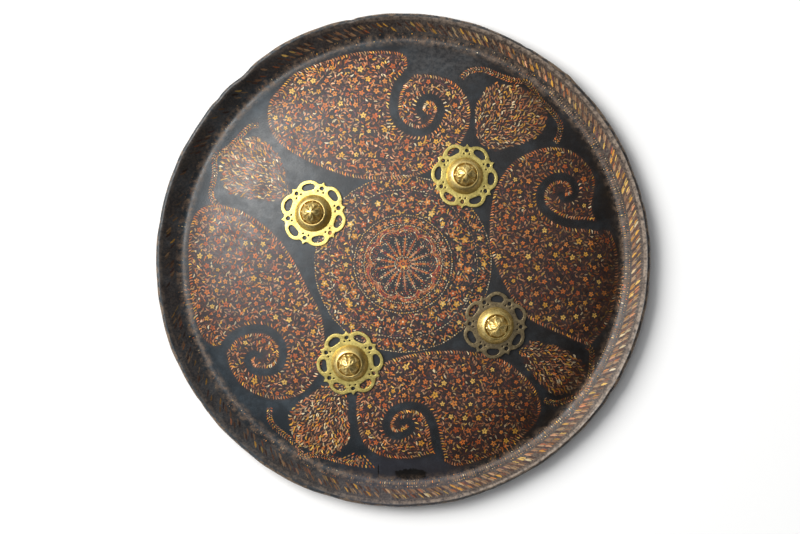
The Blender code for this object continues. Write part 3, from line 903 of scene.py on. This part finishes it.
def lacquer_material():
    """Blue-black lacquer with brown underpaint in the painted fields and the strokes over it, rubbed and
    dusty, with painted sheen on the left, at the crown and at the bottom, and painted light on the right of
    the rim; worn to bare hide along the edge and on the back."""
    look, make = new_look("painted_lacquer")
    where = make.node("ShaderNodeTexCoord").outputs["Object"]
    mm = make.vector("SCALE", where)
    mm.node.inputs["Scale"].default_value = 1 / MM
    flat = make.vector("MULTIPLY", mm, (1.0, 1.0, 0.0))
    shake = make.node("ShaderNodeTexNoise", {"Vector": flat, "Scale": 0.55, "Detail": 1.0}).outputs["Color"]
    shake = make.vector("MULTIPLY", make.vector("SUBTRACT", shake, (0.5, 0.5, 0.5)), (1.1, 1.1, 0.0))
    point = make.vector("ADD", flat, shake)
    plan = make.parts(flat)
    radius = make.vector("LENGTH", flat)

    # the bare ground: on the left, towards the window, a blue tint and extra dust that are painted sheen over
    # real dust; grey dust with a painted sheen at the crown; a painted dull sheen at the bottom
    grain = make.noise(flat, 0.35, 4.0, 0.6)
    dust = make.ramp(make.noise(flat, 0.045, 5.0, 0.65), 0.42, 0.7)
    # left: share of the window side, where the ground's blue tint and part of its dust are painted sheen
    left = make.ramp(plan[0], 170.0, -190.0)
    ground = make.mix(make.noise(flat, 0.018, 3.0), (0.010, 0.009, 0.009, 1), (0.015, 0.013, 0.012, 1))
    ground = make.mix(left, ground, (0.014, 0.021, 0.027, 1))
    ground = make.mix(make.times(dust, make.line(left, 0.30, 0.20)), ground, (0.050, 0.066, 0.080, 1))
    # crown: grey dust with a painted sheen near the top of the face
    aside = make.math("ABSOLUTE", make.math("SUBTRACT", plan[0], 45.0))
    crown = make.times(make.ramp(plan[1], 165.0, 200.0), make.ramp(aside, 60.0, 20.0),
                       make.ramp(make.noise(flat, 0.22, 5.0, 0.7), 0.35, 0.65), 0.6)
    ground = make.mix(crown, ground, (0.085, 0.082, 0.080, 1))
    aside = make.math("ABSOLUTE", plan[0])
    sheen = make.times(make.ramp(plan[1], -192.0, -206.0), make.ramp(aside, 85.0, 40.0), 0.55)
    ground = make.mix(sheen, ground, (0.050, 0.050, 0.064, 1))
    smudge = make.line(make.noise(flat, 0.25, 4.0), 0.8, make.spot(point, *SMUDGE))
    ground = make.mix(make.ramp(smudge, 1.45, 1.25), ground, (0.004, 0.004, 0.004, 1))
    ground = make.mix(make.ramp(make.spot(point, *CRACK), 1.15, 0.85), ground, (0.003, 0.003, 0.003, 1))

    # the underpaint, then the strokes from the lowest layer to the top
    mottled = make.mix(grain, (0.022, 0.011, 0.010, 1), (0.066, 0.034, 0.026, 1))
    patchy = make.ramp(make.noise(flat, 0.13, 3.0), 0.35, 0.6, 0.35, 0.85)
    under = make.times(make.attribute("wash", "Fac"), patchy)
    colour, cover = make.mix(under, ground, mottled), 0.0
    group = stroke_group()
    for layer in reversed(range(STROKE_LAYERS)):
        given = {"Colour": colour, "Cover": cover, "Point": point}
        for key in ("Place", "Shape", "Paint"):
            given[key] = make.attribute(f"{key.lower()}{layer}", "Vector")
        laid = make.node("ShaderNodeGroup", given, node_tree=group).outputs
        colour, cover = laid["Colour"], laid["Cover"]

    # dust on the wall, in the trough and on the lip; on the wall and lip it grows to the right, which is
    # painted light where the rim faces the window; rubbed patches; dull film
    right = make.ramp(plan[0], -150.0, 170.0)
    uncovered = make.math("SUBTRACT", 1.0, make.times(cover, 0.8))
    wall_dust_and_light = make.times(make.band(radius, *WALL_BAND), make.line(right, 0.34, 0.20), uncovered)
    wall_tone = make.ramp(make.noise(flat, 0.45, 5.0, 0.65), 0.36, 0.66)
    wall_tone = make.mix(wall_tone, (0.040, 0.026, 0.020, 1), (0.25, 0.180, 0.130, 1))
    colour = make.mix(wall_dust_and_light, colour, wall_tone)
    rough_dust = make.ramp(make.noise(flat, 0.16, 6.0, 0.72), 0.40, 0.68)
    trough_dust = make.times(make.band(radius, *TROUGH_BAND), rough_dust, 0.92)
    colour = make.mix(trough_dust, colour, make.mix(grain, (0.085, 0.053, 0.036, 1), (0.27, 0.185, 0.120, 1)))
    lip = make.times(make.band(radius, *LIP_BAND), make.ramp(make.noise(flat, 0.20, 5.0, 0.7), 0.38, 0.62),
                     make.line(right, 0.6, 0.22))
    colour = make.mix(lip, colour, (0.34, 0.265, 0.20, 1))
    rubbed = make.ramp(make.noise(flat, 0.12, 6.0, 0.7), 0.60, 0.72)
    colour = make.mix(make.times(rubbed, 0.55), colour, (0.030, 0.022, 0.019, 1))
    film = make.mix(dust, (0.82, 0.80, 0.80, 1), (1, 1, 1, 1))
    colour = make.mix(1.0, colour, film, "MULTIPLY")

    # bare hide along the edge and all over the back
    edge = make.ramp(make.line(make.noise(flat, 0.11, 6.0, 0.7), 14.0, radius), 254.6, 256.6)
    colour = make.mix(make.times(edge, 0.8), colour, (0.16, 0.105, 0.062, 1))
    facing = make.parts(make.node("ShaderNodeNewGeometry").outputs["Normal"])[2]
    behind = make.ramp(facing, -0.05, -0.25)
    bare = make.mix(make.noise(flat, 0.09, 6.0, 0.65), (0.055, 0.032, 0.020, 1), (0.155, 0.098, 0.058, 1))
    colour = make.mix(behind, colour, bare)

    gloss = make.ramp(make.noise(flat, 0.06, 5.0, 0.6), 0.3, 0.7, 0.34, 0.50)
    gloss = make.line(cover, 0.08, gloss)
    gloss = make.line(make.times(make.ramp(radius, 216.0, 224.0), rough_dust), 0.3, gloss)
    gloss = make.node("ShaderNodeMix", {0: behind, 2: gloss, 3: 0.72}, data_type="FLOAT").outputs[0]
    height = make.line(cover, 0.25, make.noise(flat, 0.5, 5.0, 0.6))
    make.surface(colour, gloss, height, 0.35, 0.0004, **{"Specular IOR Level": 0.55})
    return look


def add_piece(name, mesh, look, stands_for):
    """Puts a finished mesh in the scene as the piece that is seen in place of a CAD node."""
    mesh.materials.clear()
    mesh.materials.append(look)
    piece = bpy.data.objects.new(name, mesh)
    bpy.context.scene.collection.objects.link(piece)
    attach(piece, "root")
    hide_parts(stands_for)
    return piece


add_piece("shield_body_painted", shell_mesh, lacquer_material(), "shield_body")


# ---------------------------------------------------------------------------
# Boss plates: four pierced flowers of sheet brass under the domes, sawn out and filed by hand, each with
# six lobes round an oval opening and six small pointed tips between them. The dome's shank holds them.
# ---------------------------------------------------------------------------

LOBE_ANGLES = (41.0, 54.5, 26.0, 6.4)
LOBES = 6
LOBE_STEPS = 25
PLATE_GAP = 0.00035
PLATE_THICKNESS = 0.0018
LOBE_TIP = 0.0337
LOBE_CENTRE = 0.0204
VALLEY_RADIUS = 0.0298
VALLEY_HALF_ANGLE = 22.0
FINIAL_TIP = 0.0328
OPENING_CENTRE = 0.0262
OPENING_HALF_WIDTH = 0.0066
OPENING_HALF_DEPTH = 0.0042
OPENING_DENT = 0.0014
FINIAL_HOLE_CENTRE = 0.0260
FINIAL_HOLE_RADIUS = 0.0020
SHANK_HOLE_RADIUS = 0.0040
PLATE_EDGE_ROUND = 0.00035
PLATE_FACE_SIZE = 0.0045
PIN_HOLE_CENTRE = 0.0226
PIN_HOLE_RADIUS = 0.0009
PIN_HOLE_LEAN = 7.0
FILED_WAVE = 0.00022
DOME_COVERS = 0.012


def boss_frame(number):
    """Place of a boss on the face: +Z along the face's normal, +X at the plate's first lobe."""
    angle, radius = math.radians(BOSS_ANGLES[number]), BOSS_RADII[number]
    slope = float(face_slope(np.array(radius)))
    height = float(face_height(np.array(radius))) - float(ground)
    place = Vector((radius * math.cos(angle), radius * math.sin(angle), height))
    normal = Vector((-slope * math.cos(angle), -slope * math.sin(angle), 1.0)).normalized()
    lean = Vector((0, 0, 1)).rotation_difference(normal)
    turn = Quaternion((0, 0, 1), math.radians(LOBE_ANGLES[number]))
    return Matrix.Translation(place) @ (lean @ turn).to_matrix().to_4x4()


def polar(radius, degrees):
    """Plan points from radius and angle."""
    angle = np.radians(degrees)
    return np.stack([radius * np.cos(angle), radius * np.sin(angle)], -1)


def spun(points, lobe):
    """Plan points turned from the first lobe to another."""
    turned = math.radians(lobe * 360 / LOBES)
    return points @ np.array([[math.cos(turned), math.sin(turned)], [-math.sin(turned), math.cos(turned)]])


def plate_outline():
    """Arcs of the six lobes joined by a pointed tip in each valley."""
    valley = polar(VALLEY_RADIUS, -VALLEY_HALF_ANGLE) - (LOBE_CENTRE, 0.0)
    half_sweep = abs(math.degrees(math.atan2(valley[1], valley[0])))
    arc = (LOBE_CENTRE, 0.0) + polar(LOBE_TIP - LOBE_CENTRE, np.linspace(-half_sweep, half_sweep, LOBE_STEPS))
    foot, shoulder = VALLEY_RADIUS + 0.0004, FINIAL_TIP - 0.0006
    tip = polar(np.array([foot, shoulder, FINIAL_TIP, shoulder, foot]),
                np.array([-3.6, -1.0, 0.0, 1.0, 3.6]) + 180 / LOBES)
    return np.concatenate([spun(np.concatenate([arc, tip]), lobe) for lobe in range(LOBES)])


def round_loop(centre, radius, steps):
    """A circle of that many points."""
    return np.asarray(centre) + polar(radius, np.arange(steps) * 360 / steps)


def plate_holes():
    """The shank's hole, an oval with a dented inner side in each lobe, and three round holes by each tip."""
    holes = [round_loop((0, 0), SHANK_HOLE_RADIUS, 32)]
    turn = np.arange(40) * 2 * np.pi / 40
    dent = OPENING_DENT * np.maximum(0.0, -np.cos(turn)) ** 3
    oval = np.column_stack([OPENING_CENTRE + OPENING_HALF_DEPTH * np.cos(turn) + dent,
                            OPENING_HALF_WIDTH * np.sin(turn)])
    for lobe in range(LOBES):
        holes.append(spun(oval, lobe))
        between = (lobe + 0.5) * 360 / LOBES
        holes.append(round_loop(polar(FINIAL_HOLE_CENTRE, between), FINIAL_HOLE_RADIUS, 18))
        for lean in (-PIN_HOLE_LEAN, PIN_HOLE_LEAN):
            holes.append(round_loop(polar(PIN_HOLE_CENTRE, between + lean), PIN_HOLE_RADIUS, 12))
    return holes


def plate_mesh(number):
    """The plate cut flat with rounded edges, a little uneven as filed by hand, then bent to the hide."""
    curve = bpy.data.curves.new(f"plate_cut_{number + 1}", "CURVE")
    curve.dimensions, curve.fill_mode = "2D", "BOTH"
    curve.extrude = (PLATE_THICKNESS / 2 - PLATE_EDGE_ROUND) / MM
    curve.bevel_depth, curve.bevel_resolution = PLATE_EDGE_ROUND / MM, 3
    curve.offset = -PLATE_EDGE_ROUND / MM
    seed = 7.3 * number
    for loop in [plate_outline()] + plate_holes():
        x, y = loop.T
        uneven = np.column_stack([np.sin(310 * y + 190 * x + seed), np.sin(270 * x - 230 * y + 2 * seed)])
        uneven = FILED_WAVE * uneven * (np.hypot(x, y) > DOME_COVERS)[:, None]
        spline = curve.splines.new("POLY")
        spline.points.add(len(loop) - 1)
        corners = np.column_stack([(loop + uneven) / MM, np.zeros(len(loop)), np.ones(len(loop))])
        spline.points.foreach_set("co", corners.ravel())
        spline.use_cyclic_u = True
    holder = bpy.data.objects.new("plate_cut", curve)
    bpy.context.scene.collection.objects.link(holder)
    mesh = bpy.data.meshes.new_from_object(holder.evaluated_get(bpy.context.evaluated_depsgraph_get()))
    bpy.data.objects.remove(holder)
    part = bmesh.new()
    part.from_mesh(mesh)
    bmesh.ops.remove_doubles(part, verts=part.verts, dist=1e-4)
    for _ in range(4):
        bmesh.ops.triangulate(part, faces=part.faces)
        long_edges = [edge for edge in part.edges if edge.calc_length() > PLATE_FACE_SIZE / MM]
        bmesh.ops.subdivide_edges(part, edges=long_edges, cuts=1)
    bmesh.ops.triangulate(part, faces=part.faces)
    part.to_mesh(mesh)
    part.free()
    mesh.shade_smooth()
    mesh.set_sharp_from_angle(angle=math.radians(38))
    co = np.zeros(len(mesh.vertices) * 3, np.float32)
    mesh.vertices.foreach_get("co", co)
    co = co.reshape(-1, 3).astype(float) * MM
    fall = DOME_SPHERE_RADIUS - np.sqrt(DOME_SPHERE_RADIUS**2 - (co[:, :2] ** 2).sum(1))
    co[:, 2] += PLATE_THICKNESS / 2 + PLATE_GAP - fall
    mesh.vertices.foreach_set("co", co.astype(np.float32).ravel())
    mesh.transform(boss_frame(number))
    mesh.name = f"boss_plate_{number + 1}"
    return mesh


def brass_material(name, bright, dull, dirt, roughness, dirt_share):
    """Hand-worked brass: two tones in soft patches, brown dirt in the low places, fine file marks."""
    look, make = new_look(name)
    where = make.node("ShaderNodeTexCoord").outputs["Object"]
    patches = make.ramp(make.noise(where, 160.0, 4.0, 0.6), 0.35, 0.7)
    specks = make.ramp(make.noise(where, 620.0, 5.0, 0.65), 0.48, 0.66)
    colour = make.mix(patches, (*bright, 1), (*dull, 1))
    colour = make.mix(make.times(specks, dirt_share), colour, (*dirt, 1))
    hollow = make.ramp(make.node("ShaderNodeNewGeometry").outputs["Pointiness"], 0.49, 0.44)
    colour = make.mix(make.times(hollow, 0.8), colour, (*dirt, 1))
    rough = make.ramp(make.noise(where, 260.0, 5.0, 0.6), 0.3, 0.75, roughness - 0.07, roughness + 0.12)
    make.surface(colour, rough, make.noise(where, 900.0, 4.0, 0.6), 0.25, 0.0003, Metallic=1.0)
    return look


TARNISHED_PLATE = 2
plate_look = brass_material("filed_plate_brass", (0.76, 0.62, 0.21), (0.54, 0.43, 0.13), (0.12, 0.09, 0.03),
                            0.44, 0.45)
dull_plate_look = brass_material("tarnished_plate_brass", (0.40, 0.31, 0.17), (0.26, 0.20, 0.12),
                                 (0.07, 0.05, 0.03), 0.46, 0.6)
for number in range(len(BOSS_RADII)):
    look = dull_plate_look if number == TARNISHED_PLATE else plate_look
    add_piece(f"boss_plate_{number + 1}", plate_mesh(number), look, f"boss_flange_{number + 1}")


# ---------------------------------------------------------------------------
# Boss domes: cast brass, turned to a stepped dome and chiselled as a bud of four petals, with a shank
# through the plate and the hide that is clenched over on the back.
# ---------------------------------------------------------------------------

DOME_GAP = 0.0003
DOME_RADIUS = 0.0186
DOME_WALL = 0.0016
SKIRT_HEIGHT = 0.0072
KNOB_RADIUS = 0.0100
KNOB_FOOT = 0.0084
DOME_HEIGHT = 0.0172
BUD_CUT = 0.0034
SHANK_RADIUS = 0.0035
CLENCH_RADIUS = 0.0075
CLENCH_THICKNESS = 0.0018
DOME_STEPS = 160
KNOB_ROWS = 41
SKIRT_TOP_RADIUS = 0.0124
SKIRT_CURVE = 1.6
# radius and height of the throat between knob and skirt, in millimetres over the foot
THROAT = ((9.95, 7.9), (9.7, 7.3), (9.3, 6.7), (9.15, 6.2), (9.4, 5.8), (10.0, 5.6), (10.8, 5.8), (11.4, 6.3),
          (11.8, 6.9), (12.1, 7.15))
FURROW_WIDTH = 0.2
VEIN_DEPTH = 0.0013
LEAF_TIP = 0.0015


def dome_section():
    """The dome's outline from the bud's top down its outside, up its hollow and down the shank to the
    clench: a quarter ellipse for the bud, and a skirt that falls as t^1.6, t running from top to foot."""
    foot = PLATE_GAP + PLATE_THICKNESS + DOME_GAP
    rise = DOME_HEIGHT - KNOB_FOOT
    knob = np.radians(np.linspace(90, 0, KNOB_ROWS))
    skirt = np.linspace(0, 1, 21)
    parts = [np.column_stack([KNOB_RADIUS * np.cos(knob), foot + KNOB_FOOT + rise * np.sin(knob)]),
             np.array(THROAT) * MM + (0.0, foot),
             np.column_stack([SKIRT_TOP_RADIUS + (DOME_RADIUS - SKIRT_TOP_RADIUS) * skirt,
                              foot + SKIRT_HEIGHT * (1 - skirt**SKIRT_CURVE)]),
             [(DOME_RADIUS - DOME_WALL, foot), (DOME_RADIUS - 1.6 * DOME_WALL, foot + 0.45 * SKIRT_HEIGHT),
              (KNOB_RADIUS - 2 * DOME_WALL, foot + SKIRT_HEIGHT - DOME_WALL),
              (SHANK_RADIUS, foot + KNOB_FOOT + 0.3 * rise)]]
    top = -HIDE_THICKNESS - PLATE_GAP
    clench = np.radians(np.linspace(0, 90, 7))
    parts += [[(SHANK_RADIUS, top), (CLENCH_RADIUS, top), (CLENCH_RADIUS, top - 0.4 * CLENCH_THICKNESS)],
              np.column_stack([CLENCH_RADIUS - 0.6 * CLENCH_THICKNESS * (1 - np.cos(clench)),
                               top - 0.4 * CLENCH_THICKNESS - 0.6 * CLENCH_THICKNESS * np.sin(clench)]),
              [(0.0, top - CLENCH_THICKNESS)]]
    return np.concatenate([np.asarray(part, float) for part in parts])


def carved(spread, height, turn, number):
    """How far the chisel draws the bud in at each point: four furrows as bell curves between the petals,
    curved veins on the petals, and below zero at the four leaf tips that stand out at the bud's foot."""
    foot = PLATE_GAP + PLATE_THICKNESS + DOME_GAP + KNOB_FOOT
    rise = (height - foot) / (DOME_HEIGHT - KNOB_FOOT)
    row = np.arange(len(spread))[:, None]
    quarter = np.mod(turn + 0.35 * rise * math.sin(number * 2.1), math.pi / 2) - math.pi / 4
    furrow = np.exp(-((np.abs(quarter) - math.pi / 4) / FURROW_WIDTH) ** 2)
    depth = BUD_CUT * furrow * np.clip(0.3 + rise, 0, 1) * np.clip((spread - 0.0005) / 0.004, 0, 1)
    vein = (0.5 + 0.5 * np.cos(11 * rise - 8 * np.abs(quarter) + 1.3 * number)) ** 3
    shown = np.clip(1 - furrow, 0, 1) * np.clip((spread - 0.002) / 0.004, 0, 1) * np.clip(rise * 4, 0, 1)
    depth = np.where((row < KNOB_ROWS - 1) & (rise >= -0.01), depth + VEIN_DEPTH * vein * shown, 0.0)
    tips = np.cos(4 * turn + 0.6 * number) ** 12 * np.exp(-(((height - foot) / MM + 0.2) / 0.7) ** 2)
    return depth - LEAF_TIP * tips * (row < KNOB_ROWS + 3)


def dome_mesh(number):
    """The section turned once round, with the bud carved, as a closed surface with a point at each pole."""
    section = dome_section()
    spread, height = section[1:-1, :1], section[1:-1, 1:]
    rows = len(spread)
    turn = (np.arange(DOME_STEPS) * 2 * np.pi / DOME_STEPS)[None, :]
    reach = spread * (1 - carved(spread, height, turn, number) / np.maximum(spread, 1e-6))
    ring = np.stack([reach * np.cos(turn), reach * np.sin(turn), np.repeat(height, DOME_STEPS, 1)], 2)
    points = np.concatenate([[[0, 0, section[0, 1]]], ring.reshape(-1, 3), [[0, 0, section[-1, 1]]]])
    number_of = 1 + np.arange(rows * DOME_STEPS).reshape(rows, DOME_STEPS)
    following = np.roll(number_of, -1, 1)
    quads = np.stack([number_of[:-1], number_of[1:], following[1:], following[:-1]], 2).reshape(-1, 4)
    top, bottom = np.zeros(DOME_STEPS, int), np.full(DOME_STEPS, len(points) - 1)
    caps = np.concatenate([np.stack([top, number_of[0], following[0]], 1),
                           np.stack([bottom, following[-1], number_of[-1]], 1)])
    mesh = new_mesh(f"boss_bud_{number + 1}", points, quads, caps)
    mesh.set_sharp_from_angle(angle=math.radians(40))
    mesh.transform(boss_frame(number))
    return mesh


dome_look = brass_material("chiselled_dome_brass", (0.84, 0.65, 0.26), (0.66, 0.49, 0.17), (0.15, 0.09, 0.03),
                           0.42, 0.40)
for number in range(len(BOSS_RADII)):
    add_piece(f"boss_bud_{number + 1}", dome_mesh(number), dome_look, f"boss_dome_{number + 1}")


# ---------------------------------------------------------------------------
# Table, light and camera: a pale tabletop, one large soft window light from the left, a faint fill, and a
# long lens that looks straight down on the shield as it lies face up.
# ---------------------------------------------------------------------------

TABLE_HALF = 3.0
TABLE_CELLS = 6
TABLE_GAP = 0.0002
CAMERA_HEIGHT = 3.0
RIM_HEIGHT = 0.018
PIXELS_PER_METRE = 990.0
FRAME_WIDTH = 800
FRAME_OFFSET = (-3.0, -6.8)
SENSOR = 36.0
# brightness of the room on the side away from the window and on its own side
ROOM_GLOW = (0.03, 0.62)
TOWARDS_WINDOW = (-0.74, 0.50, 0.45)
# azimuth, lean from upright, distance, size and power of the window and of the soft box near the lens
LAMPS = (("window", 152.0, 44.0, 4.5, 2.9, 262.0), ("overhead", 135.0, 14.0, 4.0, 2.2, 11.0))

steps = np.linspace(-TABLE_HALF, TABLE_HALF, 2 * TABLE_CELLS + 1)
tx, ty = np.meshgrid(steps, steps, indexing="ij")
table_mesh = new_mesh("table_top", np.column_stack([tx.ravel(), ty.ravel(), np.full(tx.size, -TABLE_GAP)]),
                      grid_quads(TABLE_CELLS))
table_look = bpy.data.materials.new("pale_table")
table_look.use_nodes = True
table_look.node_tree.nodes["Principled BSDF"].inputs["Base Color"].default_value = (0.90, 0.90, 0.90, 1)
table_look.node_tree.nodes["Principled BSDF"].inputs["Roughness"].default_value = 0.9
table_mesh.materials.append(table_look)
table = bpy.data.objects.new("table_top", table_mesh)
bpy.context.scene.collection.objects.link(table)

world = bpy.data.worlds.new("soft_room")
bpy.context.scene.world = world
world.use_nodes = True
room = Maker(world.node_tree)
background = world.node_tree.nodes["Background"]
looking = room.node("ShaderNodeTexCoord").outputs["Generated"]
glow = room.ramp(room.vector("DOT_PRODUCT", looking, TOWARDS_WINDOW), -0.35, 0.75, *ROOM_GLOW)
room.tree.links.new(glow, background.inputs["Strength"])
background.inputs["Color"].default_value = (0.94, 0.97, 1.0, 1)

for name, azimuth, lean, reach, size, power in LAMPS:
    lamp = bpy.data.lights.new(name, "AREA")
    lamp.shape, lamp.size, lamp.energy = "SQUARE", size, power
    lamp.color = (1.0, 0.985, 0.96)
    lamp_object = bpy.data.objects.new(name, lamp)
    lean, azimuth = math.radians(lean), math.radians(azimuth)
    out = math.sin(lean)
    lamp_object.location = reach * Vector((out * math.cos(azimuth), out * math.sin(azimuth), math.cos(lean)))
    lamp_object.rotation_euler = lamp_object.location.to_track_quat("Z", "Y").to_euler()
    lamp_object.visible_camera = False
    bpy.context.scene.collection.objects.link(lamp_object)

camera = bpy.data.cameras.new("camera")
camera.sensor_width = SENSOR
camera.lens = SENSOR * (CAMERA_HEIGHT - RIM_HEIGHT) * PIXELS_PER_METRE / FRAME_WIDTH
camera.clip_start, camera.clip_end = 0.1, 20.0
camera_object = bpy.data.objects.new("camera", camera)
camera_object.location = (*(offset / PIXELS_PER_METRE for offset in FRAME_OFFSET), CAMERA_HEIGHT)
bpy.context.scene.collection.objects.link(camera_object)
bpy.context.scene.camera = camera_object
bpy.context.scene.view_settings.view_transform = "Standard"
